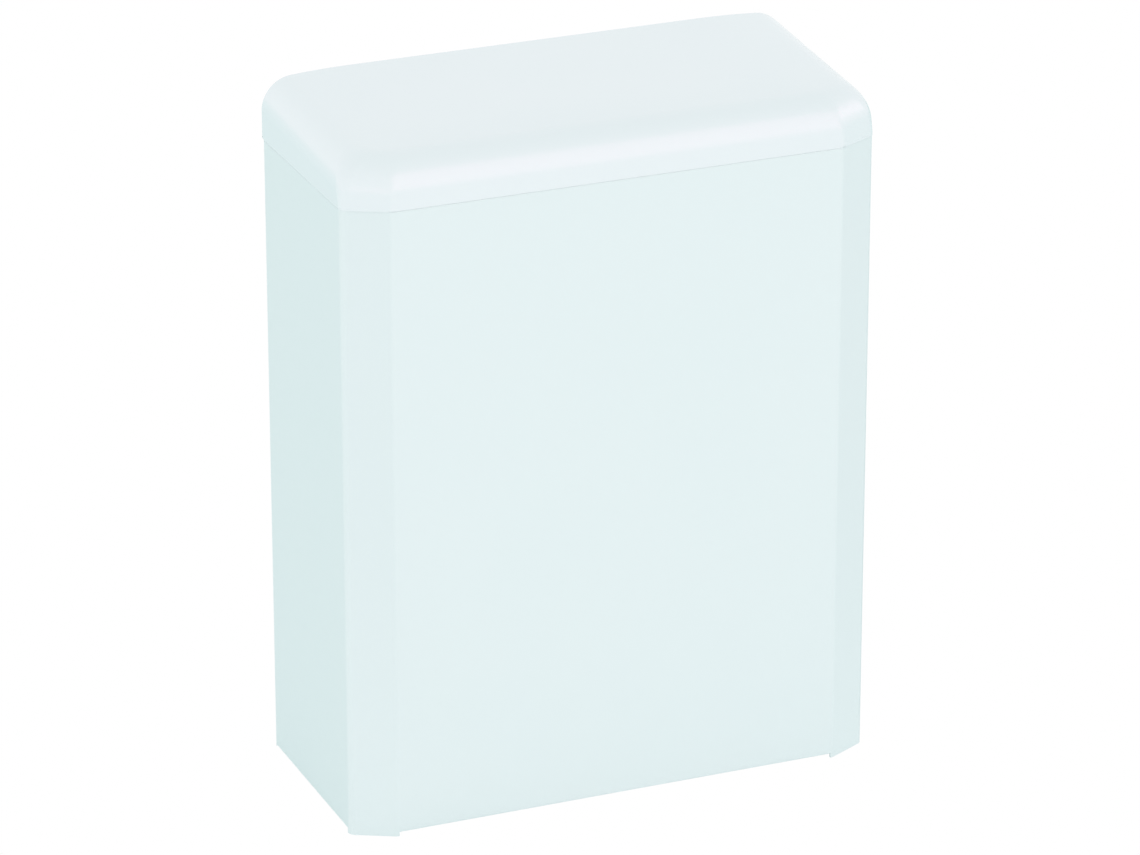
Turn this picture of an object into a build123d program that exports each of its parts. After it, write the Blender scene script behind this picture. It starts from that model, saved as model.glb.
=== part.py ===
from build123d import *
from math import atan2, cos, radians, sin, sqrt, tan
import os

os.makedirs("parts", exist_ok=True)

# Wall-mounted waste bin of about six litres. Every length is in millimetres.
# Seen by someone who faces the bin, +X points right, +Y to the wall and +Z up.
# The origin is on the floor, in the middle of the whole footprint.

# Folded steel body
body_width = 235.0
body_depth = 101.0
body_height = 278.0
strip_along_front = 17.8
strip_along_side = 9.1
strip_drop = 1.5
shell_sheet = 1.0
upright_fold = 4.0
edge_fold = 1.2
front_rim = 16.0
side_rim = 10.0
foot_width = 14.0
back_return = 14.0

# Back plate and the wall holes in their pressed pads
plate_sheet = 1.0
wall_standoff = 3.0
wall_hole_radius = 3.0
wall_hole_span_x = 140.0
wall_hole_span_z = 180.0
wall_hole_middle_z = 145.0
pad_radius = 8.0
tongue_width = 20.0
tongue_x = 80.0
upstand_side_gap = 2.0
upstand_corner = 6.0

# Base plate
base_sheet = 1.0
base_fit = 0.7
base_back_flange = 12.0

# Moulded lid
lid_height = 27.0
lid_wall = 2.0
lid_proud = 0.2
lid_seam = 0.25
lid_back_gap = 0.3
lid_roll = 14.0
lid_roll_top_back = 26.0
lid_roll_top_front = 20.2
lid_lip_chamfer = 0.2
lid_lip_depth = 2.0
lid_roll_turn = 86.0
lid_roll_steps = 8
crown_reach = 26.0
crown_steps = 2
strip_growth_share = 0.1
crown_growth_share = 0.76
corner_growth_share = 0.4

# Hinge at the top of the back, inside the lid
hinge_inset = 6.5
hinge_drop = 6.3
hinge_side_inset = 47.5
hinge_clear = 0.4
open_angle = 80.0
rod_radius = 1.5
rod_running_gap = 0.05
bush_wall = 0.65
bush_flange = 0.4
bush_flange_radius = 3.2
bracket_sheet = 2.0
bracket_eye = 3.5
bracket_width = 16.0
bracket_drop = 34.0
bracket_fold = 2.5
bracket_nose = 12.0
bracket_toe = 3.0
lug_gap = 0.5
lug_width = 3.0
lug_eye = 4.2
rib_length = 46.0
rib_tail = 3.5
cross_rib_width = 1.6
cross_rib_side_gap = 18.0
clip_radius = 3.5
clip_thickness = 0.8
clip_gap = 0.1
rod_overhang = 1.2
seam_swing_gap = 0.2

# Rubber buffers in the front rim and the lid's posts above them
buffer_side_inset = 32.5
buffer_front_inset = 6.5
buffer_head_radius = 3.5
buffer_head = 2.5
buffer_stem_radius = 2.0
buffer_bulb_radius = 2.8
buffer_bulb = 2.5
post_radius = 2.5
post_gap = 0.3

# Folded ring that holds the bag
ring_sheet = 1.0
ring_fit = 0.6
ring_depth = 20.0
ring_flange = 5.0
ring_corner = 6.0
ring_back_gap = 3.0

# Blind rivets
rivet_radius = 1.5
rivet_head_radius = 2.8
rivet_head = 0.9
rivet_tail_radius = 2.3
rivet_tail = 0.9
back_rivets_per_side = 3
back_rivet_margin = 26.0
bracket_rivet_margin = 6.0

# How far a cut runs past the face that it opens
overrun = 2.0

# Places that follow from the sizes
side_x = body_width / 2
wall_y = (lid_proud + body_depth + wall_standoff) / 2
back_y = wall_y - wall_standoff
front_y = back_y - body_depth
plate_front_y = back_y - plate_sheet
foot_z = strip_drop
front_turn = atan2(strip_along_side, strip_along_front)
side_turn = radians(90) - front_turn
front_flat_x = side_x - strip_along_front - upright_fold * tan(front_turn / 2)
side_flat_front_y = front_y + strip_along_side + upright_fold * tan(side_turn / 2)
side_flat_back_y = plate_front_y - edge_fold
side_flat_length = side_flat_back_y - side_flat_front_y
side_flat_middle_y = (side_flat_front_y + side_flat_back_y) / 2

lid_top_z = body_height + lid_height
lid_bottom_z = body_height + lid_seam
lid_back_y = back_y - lid_back_gap
lid_front_y = front_y - lid_proud
lid_slope = atan2(lid_roll_top_back - lid_roll_top_front, lid_back_y - lid_front_y)
crown_rise = lid_height - lid_roll_top_back

hinge_x = side_x - hinge_side_inset
hinge_y = back_y - hinge_inset
hinge_z = lid_top_z - hinge_drop
lid_swing = sqrt((hinge_inset - lid_back_gap) ** 2 + hinge_drop**2) + hinge_clear
upstand_top_z = hinge_z - sqrt(lid_swing**2 - (hinge_inset - plate_sheet) ** 2)
upstand_half = side_x + lid_proud - lid_wall - upstand_side_gap
neck_drop = sqrt(lid_swing**2 - bracket_eye**2)
bush_radius = rod_radius + rod_running_gap + bush_wall
ear_in_x = hinge_x - bracket_sheet / 2
ear_out_x = hinge_x + bracket_sheet / 2
lug_out_x = ear_out_x + lug_gap
lug_in_x = ear_in_x - lug_gap
rod_half = lug_out_x + lug_width + clip_gap + clip_thickness + rod_overhang


def plan_points(inset, rear_y, growth=0.0):
    """Body outline from its left to its right back corner, moved inwards by the inset."""
    side = side_x - inset
    front = front_y + inset
    strip_back = front_y + strip_along_side + inset * tan(side_turn / 2) + growth
    strip_end = side_x - strip_along_front - inset * tan(front_turn / 2) - growth
    return [
        (-side, rear_y),
        (-side, strip_back),
        (-strip_end, front),
        (strip_end, front),
        (side, strip_back),
        (side, rear_y),
    ]


def rivet(grip):
    """Blind rivet that grips upwards from the ground plane, with its head below."""
    with BuildPart() as piece:
        with BuildSketch(Plane.XZ):
            with BuildLine():
                Polyline(
                    (0, -rivet_head),
                    (rivet_radius, -rivet_head),
                    (rivet_head_radius, 0),
                    (rivet_radius, 0),
                    (rivet_radius, grip),
                    (rivet_tail_radius, grip),
                    (0, grip + rivet_tail),
                    close=True,
                )
            make_face()
        revolve(axis=Axis.Z)
    return piece.part


def into_the_bin(x, z):
    """Plane on the outer face of the back plate that looks into the bin."""
    return Plane(origin=(x, back_y, z), x_dir=(-1, 0, 0), z_dir=(0, -1, 0))


back_rivet_x = side_x - back_return / 2
back_rivet_low_z = foot_z + back_rivet_margin
back_rivet_step = (body_height - foot_z - 2 * back_rivet_margin) / (back_rivets_per_side - 1)
back_rivet_planes = [
    into_the_bin(side * back_rivet_x, back_rivet_low_z + row * back_rivet_step)
    for side in (-1, 1)
    for row in range(back_rivets_per_side)
]
bracket_rivet_x = ear_out_x - bracket_width / 2
bracket_top_z = hinge_z - neck_drop
bracket_bottom_z = hinge_z - bracket_drop
bracket_rivet_planes = [
    into_the_bin(side * bracket_rivet_x, z)
    for side in (-1, 1)
    for z in (bracket_top_z - bracket_rivet_margin, bracket_bottom_z + bracket_rivet_margin)
]
buffer_places = [(side * (side_x - buffer_side_inset), front_y + buffer_front_inset) for side in (-1, 1)]

# Front shell: one sheet folded round the front, the corner strips, the sides and
# the returns at the back, with the front and sides folded in at the foot and rim
with BuildPart() as front_shell:
    with BuildSketch():
        with BuildLine():
            FilletPolyline(
                (-side_x + back_return, plate_front_y),
                *plan_points(0, plate_front_y),
                (side_x - back_return, plate_front_y),
                radius=[edge_fold, upright_fold, upright_fold, upright_fold, upright_fold, edge_fold],
            )
            offset(amount=shell_sheet, side=Side.LEFT)
        make_face()
    extrude(amount=body_height)

    # the flat panels end where their foot and rim folds begin
    foot_cut = foot_z + edge_fold
    with BuildSketch():
        with Locations((0, front_y)):
            Rectangle(2 * front_flat_x, 2 * upright_fold)
        with Locations((-side_x, side_flat_middle_y), (side_x, side_flat_middle_y)):
            Rectangle(2 * upright_fold, side_flat_length)
    extrude(amount=foot_cut, mode=Mode.SUBTRACT)
    with BuildSketch(Plane.XY.offset(body_height - edge_fold)):
        with Locations((0, front_y)):
            Rectangle(2 * front_flat_x, 2 * upright_fold)
        with Locations((-side_x, side_flat_middle_y), (side_x, side_flat_middle_y)):
            Rectangle(2 * upright_fold, side_flat_length)
    extrude(amount=edge_fold, mode=Mode.SUBTRACT)
    with BuildSketch():
        with Locations((0, plate_front_y)):
            Rectangle(2 * side_x, 2 * edge_fold)
    extrude(amount=foot_z, mode=Mode.SUBTRACT)

    # front panel with its foot and rim
    with BuildSketch(Plane.YZ.offset(-front_flat_x)):
        with BuildLine():
            FilletPolyline(
                (front_y + front_rim, body_height),
                (front_y, body_height),
                (front_y, foot_z),
                (front_y + foot_width, foot_z),
                radius=edge_fold,
            )
            offset(amount=shell_sheet, side=Side.LEFT)
        make_face()
    extrude(amount=2 * front_flat_x)

    # side panels with their feet and rims
    for side in (-1, 1):
        with BuildSketch(Plane.XZ.offset(-side_flat_back_y)):
            with BuildLine():
                FilletPolyline(
                    (side * (side_x - side_rim), body_height),
                    (side * side_x, body_height),
                    (side * side_x, foot_z),
                    (side * (side_x - foot_width), foot_z),
                    radius=edge_fold,
                )
                offset(amount=shell_sheet, side=Side.RIGHT if side > 0 else Side.LEFT)
            make_face()
        extrude(amount=side_flat_length)

    # holes for the rubber buffers and for the rivets
    with BuildSketch(Plane.XY.offset(body_height - shell_sheet)):
        with Locations(*buffer_places):
            Circle(buffer_stem_radius)
    extrude(amount=shell_sheet, mode=Mode.SUBTRACT)
    with Locations(*back_rivet_planes):
        Cylinder(rivet_radius, 2 * (plate_sheet + shell_sheet), mode=Mode.SUBTRACT)
front_shell.part.label = "front_shell"
export_step(front_shell.part, "parts/front_shell.step")

# Back plate: between the shell's rear folds up to the rim, a narrower upstand inside
# the lid, and two tongues that stand on the floor level with the corner strips
with BuildPart() as back_plate:
    with BuildSketch(Plane.XZ.offset(-back_y)):
        with Locations((0, (foot_z + body_height) / 2)):
            Rectangle(body_width - 2 * edge_fold, body_height - foot_z)
        with Locations((0, (body_height + upstand_top_z) / 2)):
            upstand_height = upstand_top_z - body_height + 2 * upstand_corner
            RectangleRounded(2 * upstand_half, upstand_height, upstand_corner)
        with Locations((-tongue_x, foot_z), (tongue_x, foot_z)):
            Rectangle(tongue_width, 2 * foot_z)
        with Locations((0, upstand_top_z + upstand_corner)):
            Rectangle(body_width, 2 * upstand_corner, mode=Mode.SUBTRACT)
    extrude(amount=plate_sheet)
    pad_base = pad_radius + wall_standoff
    for column in (-1, 1):
        for row in (-1, 1):
            hole_x = column * wall_hole_span_x / 2
            hole_z = wall_hole_middle_z + row * wall_hole_span_z / 2
            with BuildSketch(into_the_bin(hole_x, hole_z)):
                Circle(pad_base)
            extrude(amount=plate_sheet, mode=Mode.SUBTRACT)
            with BuildSketch(Plane(origin=(hole_x, back_y, hole_z), x_dir=(1, 0, 0), z_dir=(0, 0, 1))):
                with BuildLine():
                    Polyline(
                        (wall_hole_radius, wall_standoff),
                        (pad_radius, wall_standoff),
                        (pad_base, 0),
                        (pad_base, -plate_sheet),
                        (pad_radius, wall_standoff - plate_sheet),
                        (wall_hole_radius, wall_standoff - plate_sheet),
                        close=True,
                    )
                make_face()
            revolve(axis=Axis((hole_x, back_y, hole_z), (0, 1, 0)))
    with Locations(*back_rivet_planes, *bracket_rivet_planes):
        Cylinder(rivet_radius, 2 * (plate_sheet + shell_sheet), mode=Mode.SUBTRACT)
back_plate.part.label = "back_plate"
export_step(back_plate.part, "parts/back_plate.step")

# Base plate: spot-welded to the folded feet, with a flange up the back plate
with BuildPart() as base_plate:
    base_inset = shell_sheet + base_fit
    base_back_half = side_x - back_return - base_fit
    base_rear_y = plate_front_y - shell_sheet - base_fit
    with BuildSketch(Plane.XY.offset(foot_z + shell_sheet)):
        with BuildLine():
            outline = plan_points(base_inset, base_rear_y)
            FilletPolyline(*outline, radius=upright_fold - base_inset)
            Line(outline[-1], outline[0])
        make_face()
        with Locations((0, plate_front_y - edge_fold)):
            Rectangle(2 * base_back_half, 2 * edge_fold)
    extrude(amount=base_sheet)
    with BuildSketch(Plane.XY.offset(foot_z + shell_sheet)):
        with Locations((0, plate_front_y - base_sheet / 2)):
            Rectangle(2 * base_back_half, base_sheet)
    extrude(amount=base_sheet + base_back_flange)
base_plate.part.label = "base_plate"
export_step(base_plate.part, "parts/base_plate.step")

# Hinge brackets: a flange on the back plate and an ear whose neck passes in front
# of the lid's swinging back edge and carries the rod's eye
with BuildPart() as right_hinge_bracket:
    with BuildSketch(Plane.YZ.offset(ear_in_x)):
        with Locations((hinge_y, hinge_z)):
            Circle(bracket_eye)
        with BuildLine():
            Polyline(
                (hinge_y - bracket_eye, hinge_z),
                (hinge_y + bracket_eye, hinge_z),
                (hinge_y + bracket_eye, bracket_top_z),
                (plate_front_y, bracket_top_z),
                (plate_front_y, bracket_bottom_z),
                (plate_front_y - bracket_sheet - bracket_toe, bracket_bottom_z),
                (hinge_y - bracket_eye, hinge_z - bracket_nose),
                close=True,
            )
        make_face()
    extrude(amount=bracket_sheet)
    with BuildSketch(Plane.XZ.offset(-plate_front_y)):
        with Locations((ear_out_x - bracket_width / 2, (bracket_top_z + bracket_bottom_z) / 2)):
            Rectangle(bracket_width, bracket_top_z - bracket_bottom_z)
    extrude(amount=bracket_sheet)
    upright_edges = right_hinge_bracket.edges().filter_by(Axis.Z)
    fold_edge = upright_edges.sort_by_distance((ear_out_x, plate_front_y, bracket_bottom_z))[0]
    fillet(fold_edge, radius=bracket_fold)
    with Locations(Plane(origin=(hinge_x, hinge_y, hinge_z), x_dir=(0, 1, 0), z_dir=(1, 0, 0))):
        Cylinder(bush_radius, 2 * bracket_sheet, mode=Mode.SUBTRACT)
    with Locations(*bracket_rivet_planes):
        Cylinder(rivet_radius, 2 * (plate_sheet + bracket_sheet), mode=Mode.SUBTRACT)
right_hinge_bracket.part.label = "right_hinge_bracket"
export_step(right_hinge_bracket.part, "parts/right_hinge_bracket.step")

with BuildPart() as left_hinge_bracket:
    mirror(right_hinge_bracket.part, about=Plane.YZ)
left_hinge_bracket.part.label = "left_hinge_bracket"
export_step(left_hinge_bracket.part, "parts/left_hinge_bracket.step")

# Flanged bushes pressed into the ears from outside, in which the rod turns
with BuildPart() as right_hinge_bush:
    with BuildSketch(Plane.YZ.offset(ear_in_x)):
        with Locations((hinge_y, hinge_z)):
            Circle(bush_radius)
    extrude(amount=bracket_sheet)
    with BuildSketch(Plane.YZ.offset(ear_out_x)):
        with Locations((hinge_y, hinge_z)):
            Circle(bush_flange_radius)
    extrude(amount=bush_flange)
    with BuildSketch(Plane.YZ.offset(ear_in_x)):
        with Locations((hinge_y, hinge_z)):
            Circle(rod_radius + rod_running_gap)
    extrude(amount=bracket_sheet + bush_flange, mode=Mode.SUBTRACT)
right_hinge_bush.part.label = "right_hinge_bush"
export_step(right_hinge_bush.part, "parts/right_hinge_bush.step")

with BuildPart() as left_hinge_bush:
    mirror(right_hinge_bush.part, about=Plane.YZ)
left_hinge_bush.part.label = "left_hinge_bush"
export_step(left_hinge_bush.part, "parts/left_hinge_bush.step")

# Hinge rod: pressed into the lid's lugs, it turns in the two bushes
with BuildPart() as hinge_rod:
    with BuildSketch(Plane.YZ.offset(-rod_half)):
        with Locations((hinge_y, hinge_z)):
            Circle(rod_radius)
    extrude(amount=2 * rod_half)
    chamfer(hinge_rod.edges(), length=rod_radius / 4)
hinge_rod.part.label = "hinge_rod"
export_step(hinge_rod.part, "parts/hinge_rod.step")

# Push-on retaining clips, one at each end of the rod
with BuildPart() as right_rod_clip:
    with BuildSketch(Plane.YZ.offset(lug_out_x + lug_width + clip_gap)):
        with Locations((hinge_y, hinge_z)):
            Circle(clip_radius)
            Circle(rod_radius, mode=Mode.SUBTRACT)
    extrude(amount=clip_thickness)
right_rod_clip.part.label = "right_rod_clip"
export_step(right_rod_clip.part, "parts/right_rod_clip.step")

with BuildPart() as left_rod_clip:
    mirror(right_rod_clip.part, about=Plane.YZ)
left_rod_clip.part.label = "left_rod_clip"
export_step(left_rod_clip.part, "parts/left_rod_clip.step")


def lid_section(height, slope, wall, moved_in, above_seam, growth):
    """Section of the lid's form, a wall inside its skin, on a plane that falls to the front."""
    section_plane = Plane(origin=(0, lid_back_y, height), x_dir=(1, 0, 0), z_dir=(0, -sin(slope), cos(slope)))
    with BuildSketch(section_plane) as section:
        with BuildLine():
            strip_growth = strip_growth_share * above_seam + growth
            points = plan_points(wall - lid_proud + moved_in, lid_back_y + overrun, strip_growth)
            sloping = [(x, (y - lid_back_y) / cos(slope)) for x, y in points]
            corner_radius = upright_fold + lid_proud - wall + corner_growth_share * above_seam
            FilletPolyline(*sloping, radius=corner_radius)
            Line(sloping[-1], sloping[0])
        make_face()
    return section.sketch


def lid_level(wall, turn, crown):
    """Section of the lid's form after a turn of its roll and a share of its crown."""
    roll_radius = lid_roll - wall
    rise = roll_radius * sin(turn) + crown_rise * (1 - (1 - crown) ** 2)
    return lid_section(
        height=body_height + lid_roll_top_back - lid_roll + rise,
        slope=lid_slope,
        wall=wall,
        moved_in=roll_radius * (1 - cos(turn)) + crown_reach * crown,
        above_seam=lid_roll_top_front - lid_roll + lid_roll * sin(turn),
        growth=crown_growth_share * crown_reach * crown,
    )


def lid_form(wall, low_z):
    """Solid form of the lid, a wall inside its skin, from a height up.

    Above its chamfered lip the corners of the body's outline lean in and grow rounder,
    then the edge rolls over and the top rises to its crown. It runs on past the back.
    """
    roll_turns = [radians(lid_roll_turn * step / lid_roll_steps) for step in range(lid_roll_steps + 1)]
    with BuildPart() as form:
        lip_sections = [
            lid_section(low_z + lid_lip_chamfer - cut, 0, wall, moved_in=cut, above_seam=0, growth=0)
            for cut in (lid_lip_chamfer, 0)
        ]
        loft([*lip_sections, lid_level(wall, 0, 0)], ruled=True)
        loft([lid_level(wall, turn, 0) for turn in roll_turns], ruled=True)
        loft([lid_level(wall, roll_turns[-1], step / crown_steps) for step in range(crown_steps + 1)], ruled=True)
    return form.part


# Lid: hollow moulding, open at the bottom and the back, with a lip along its back
# edge, four hinge lugs with long ribs, a cross rib and two posts for the buffers
lid_outer = lid_form(0, lid_bottom_z)
lid_core = lid_form(lid_wall / 2, lid_bottom_z)
lid_hollow = lid_form(lid_wall, lid_bottom_z - overrun)
lug_places = [lug_out_x, lug_in_x - lug_width, -lug_out_x - lug_width, -lug_in_x]

with BuildPart() as lid_fittings:
    for lug_x in lug_places:
        with BuildSketch(Plane.YZ.offset(lug_x)):
            with Locations((hinge_y, hinge_z)):
                Circle(lug_eye)
            with BuildLine():
                Polyline(
                    (hinge_y + lug_eye, lid_top_z),
                    (hinge_y + lug_eye, hinge_z),
                    (hinge_y, hinge_z - lug_eye),
                    (hinge_y - rib_length, lid_top_z - lid_wall - rib_tail - rib_length * tan(lid_slope)),
                    (hinge_y - rib_length, lid_top_z),
                    close=True,
                )
            make_face()
        extrude(amount=lug_width)
    with BuildSketch(Plane.YZ.offset(-side_x + cross_rib_side_gap)):
        with Locations((hinge_y - rib_length, lid_top_z - lid_wall - rib_tail - rib_length * tan(lid_slope))):
            Rectangle(cross_rib_width, lid_height, align=(Align.CENTER, Align.MIN))
    extrude(amount=2 * (side_x - cross_rib_side_gap))
    with BuildSketch(Plane.YZ.offset(-side_x)):
        with Locations((lid_back_y, hinge_z)):
            Rectangle(lid_lip_depth, lid_height, align=(Align.MAX, Align.MIN))
    extrude(amount=body_width)
    with BuildSketch(Plane.XY.offset(body_height + buffer_head + post_gap)):
        with Locations(*buffer_places):
            Circle(post_radius)
    extrude(amount=lid_height)
    add(lid_core, mode=Mode.INTERSECT)

with BuildPart() as lid:
    add(lid_outer)
    split(bisect_by=Plane.XZ.offset(-lid_back_y), keep=Keep.TOP)
    add(lid_hollow, mode=Mode.SUBTRACT)
    add(lid_fittings.part)
    # slots in the back lip for the ears of the brackets
    with BuildSketch(Plane.XY.offset(hinge_z)):
        with Locations((-hinge_x, lid_back_y), (hinge_x, lid_back_y)):
            Rectangle(bracket_sheet + 2 * lug_gap, 2 * lid_lip_depth)
    extrude(amount=hinge_drop - lid_wall, mode=Mode.SUBTRACT)
    # the skirt's back corners clear the rim as they swing
    seam_swing = hinge_z - body_height - seam_swing_gap
    with BuildSketch(Plane.YZ.offset(-side_x - overrun)):
        with Locations((hinge_y, hinge_z)):
            Rectangle(hinge_inset + overrun, seam_swing + overrun, align=(Align.MIN, Align.MAX))
            Circle(seam_swing, mode=Mode.SUBTRACT)
    extrude(amount=body_width + 2 * overrun, mode=Mode.SUBTRACT)
    with BuildSketch(Plane.YZ.offset(-rod_half)):
        with Locations((hinge_y, hinge_z)):
            Circle(rod_radius)
    extrude(amount=2 * rod_half, mode=Mode.SUBTRACT)
lid.part.label = "lid"
export_step(lid.part, "parts/lid.step")

# Rubber buffers pushed into the front rim, under the lid's posts
with BuildPart() as rim_buffers:
    for buffer_side_x, buffer_side_y in buffer_places:
        rim_under = body_height - shell_sheet
        with BuildSketch(Plane(origin=(buffer_side_x, buffer_side_y, 0), x_dir=(1, 0, 0), z_dir=(0, -1, 0))):
            with BuildLine():
                Polyline(
                    (0, body_height + buffer_head),
                    (buffer_stem_radius, body_height + buffer_head),
                    (buffer_head_radius, body_height),
                    (buffer_stem_radius, body_height),
                    (buffer_stem_radius, rim_under),
                    (buffer_bulb_radius, rim_under),
                    (0, rim_under - buffer_bulb),
                    close=True,
                )
            make_face()
        revolve(axis=Axis((buffer_side_x, buffer_side_y, 0), (0, 0, 1)))
rim_buffers.part.label = "rim_buffers"
export_step(rim_buffers.part, "parts/rim_buffers.step")

# Bag ring: a folded band that drops inside the rim and hangs on it by its flange
ring_half = side_x - side_rim - ring_fit
ring_front_y = front_y + front_rim + ring_fit
ring_back_y = hinge_y - bracket_eye - ring_back_gap
ring_middle_y = (ring_front_y + ring_back_y) / 2
ring_length = ring_back_y - ring_front_y
with BuildPart() as bag_ring:
    with BuildSketch(Plane.XY.offset(body_height + ring_sheet - ring_depth)):
        with Locations((0, ring_middle_y)):
            RectangleRounded(2 * ring_half, ring_length, ring_corner)
    extrude(amount=ring_depth)
    with BuildSketch(Plane.XY.offset(body_height)):
        with Locations((0, ring_middle_y - ring_flange / 2)):
            RectangleRounded(2 * (ring_half + ring_flange), ring_length + ring_flange, ring_corner)
    extrude(amount=ring_sheet)
    with BuildSketch(Plane.XY.offset(body_height + ring_sheet - ring_depth)):
        with Locations((0, ring_middle_y)):
            RectangleRounded(2 * (ring_half - ring_sheet), ring_length - 2 * ring_sheet, ring_corner - ring_sheet)
    extrude(amount=ring_depth, mode=Mode.SUBTRACT)
bag_ring.part.label = "bag_ring"
export_step(bag_ring.part, "parts/bag_ring.step")

# Rivets of the back seams and of the brackets
with BuildPart() as back_rivets:
    with Locations(*back_rivet_planes):
        add(rivet(plate_sheet + shell_sheet))
back_rivets.part.label = "back_rivets"
export_step(back_rivets.part, "parts/back_rivets.step")

with BuildPart() as bracket_rivets:
    with Locations(*bracket_rivet_planes):
        add(rivet(plate_sheet + bracket_sheet))
bracket_rivets.part.label = "bracket_rivets"
export_step(bracket_rivets.part, "parts/bracket_rivets.step")

print("hinge axis at y, z:", round(hinge_y, 3), round(hinge_z, 3))
print("back plate's outer face at y:", round(back_y, 3), "wall at y:", round(wall_y, 3))
print("body front at y:", round(front_y, 3), "upstand top at z:", round(upstand_top_z, 3))
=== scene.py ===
from math import cos, pi, radians, sin, sqrt

import bmesh
import bpy
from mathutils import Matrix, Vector


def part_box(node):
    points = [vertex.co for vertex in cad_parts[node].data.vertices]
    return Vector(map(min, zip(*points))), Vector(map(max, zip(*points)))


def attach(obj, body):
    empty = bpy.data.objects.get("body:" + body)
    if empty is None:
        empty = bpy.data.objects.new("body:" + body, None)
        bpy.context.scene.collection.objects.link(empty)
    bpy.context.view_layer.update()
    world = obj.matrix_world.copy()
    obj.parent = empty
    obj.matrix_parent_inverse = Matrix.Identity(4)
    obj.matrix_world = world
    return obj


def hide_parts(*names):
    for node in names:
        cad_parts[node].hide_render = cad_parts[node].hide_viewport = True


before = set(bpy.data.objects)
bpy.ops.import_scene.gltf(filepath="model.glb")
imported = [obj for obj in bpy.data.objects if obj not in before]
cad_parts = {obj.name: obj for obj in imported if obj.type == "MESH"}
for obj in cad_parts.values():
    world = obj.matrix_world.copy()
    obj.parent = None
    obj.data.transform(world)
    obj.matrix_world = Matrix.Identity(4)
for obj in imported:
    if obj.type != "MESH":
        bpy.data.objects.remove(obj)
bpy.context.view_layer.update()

# Enamelled steel waste bin that hangs on a wall, with a moulded lid that rolls over
# its front and sides. Lengths are in metres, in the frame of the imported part: +X to
# the right of someone who faces the bin, +Y to the wall and +Z up.
MM = 0.001
WHITE = (1, 1, 1, 1)
quarter_turn = pi / 2

# Body and hinge, as packed
shell_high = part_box("front_shell")[1]
side_x = shell_high.x
body_height = shell_high.z
strip_along_front = 17.8 * MM
strip_along_side = 9.1 * MM
upright_fold = 4.0 * MM
rod_low, rod_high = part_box("hinge_rod")
hinge_y = (rod_low.y + rod_high.y) / 2
hinge_z = (rod_low.z + rod_high.z) / 2
bush_low, bush_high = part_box("right_hinge_bush")
bush_flange = 0.4 * MM
buffer_low, buffer_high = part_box("rim_buffers")

# Lid: a skirt, a roll that turns in, and a low crown that slopes to the front
lid_low, lid_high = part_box("lid")
lid_side_x = lid_high.x
lid_front_y = lid_low.y
lid_rear_y = lid_high.y
lid_proud = lid_side_x - side_x
lid_bottom_z = lid_low.z
lid_wall = 2.0 * MM
wall_middle = lid_wall / 2
lid_roll = 14.0 * MM
roll_turn = radians(86.0)
roll_top_back = 26.0 * MM
roll_top_front = 20.2 * MM
roll_base_z = body_height + roll_top_back - lid_roll
lid_slope = (roll_top_back - roll_top_front) / (lid_rear_y - lid_front_y)
crown_reach = 26.0 * MM
crown_rise = lid_high.z - body_height - roll_top_back
strip_growth_share = 0.1
crown_growth_share = 0.76
corner_growth_share = 0.4
roll_steps = 16
crown_steps = 8
fold_steps = 8

# Circle about the hinge that the lid's rear rim stays inside, so that it clears the body
seam_swing_gap = 0.2 * MM
seam_swing = hinge_z - body_height - seam_swing_gap
swing_reach = 2.7 * MM
swing_steps = 3

# Control points of one level of the lid: on each side the rear, a point after each
# swing step, and the two ends of the slanting strip, which are rounded
outline_corners = 2 * (swing_steps + 3)
rounded_corners = 4

# Inside of the lid
lug_eye = 4.2 * MM
lug_width = 3.0 * MM
lug_gap = 0.5 * MM
lug_turn_step = 10
rib_length = 46.0 * MM
rib_tail = 3.5 * MM
rib_tail_y = hinge_y - rib_length
rib_tail_z = lid_high.z - lid_wall - rib_tail - rib_length * lid_slope
rib_stations = 4
cross_rib_width = 1.6 * MM
cross_rib_side_gap = 18.0 * MM
cross_rib_stations = 24
back_lip_depth = 2.0 * MM
back_lip_inset = 0.05 * MM
back_lip_stations = 16
post_radius = 2.5 * MM
post_sides = 24
post_gap = 0.3 * MM
inner_edge_round = 0.25 * MM

# Fine lip that hangs from the lid's rim in front of the seam
rim_lip_hang = 0.5 * MM
rim_lip_root = 0.8 * MM
rim_lip_thickness = 0.15 * MM
rim_lip_recess = 0.02 * MM

# Blind rivets
rivet_head_radius = 2.8 * MM
rivet_head = 0.9 * MM
rivet_hole_radius = 0.9 * MM
rivet_hole_depth = 0.5 * MM
rivet_shank_radius = 1.5 * MM
rivet_tail_radius = 2.3 * MM
rivet_tail = 0.9 * MM
rivet_sides = 24
dome_rings = 14

# Softened edges: their radii, the turns in degrees from which they count, and how
# close two points are for one
sheet_round = 0.15 * MM
bracket_round = 0.2 * MM
bush_round = 0.08 * MM
clip_round = 0.1 * MM
rod_round = 0.05 * MM
buffer_round = 0.3 * MM
edge_turn = 35.0
inner_edge_turn = 50.0
flat_turn = 0.2
edge_segments = 2
flat_face_weight = 50
weld_distance = 0.001 * MM
cut_distance = 0.0001 * MM


class Field:
    """A number in a node tree that is added, subtracted and multiplied like a plain one."""

    def __init__(self, tree, source):
        self.tree = tree
        self.source = source

    def math(self, operation, *others):
        """Field that a math node makes of this one and the others."""
        node = self.tree.nodes.new("ShaderNodeMath")
        node.operation = operation
        for socket, value in zip(node.inputs, (self, *others)):
            feed(self.tree, socket, value)
        return Field(self.tree, node)

    def __add__(self, other):
        return self.math("ADD", other)

    def __sub__(self, other):
        return self.math("SUBTRACT", other)

    def __mul__(self, other):
        return self.math("MULTIPLY", other)

    def __truediv__(self, other):
        return self.math("DIVIDE", other)

    def within(self, low, high):
        """This field, held between two limits."""
        return self.math("MAXIMUM", low).math("MINIMUM", high)


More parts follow.
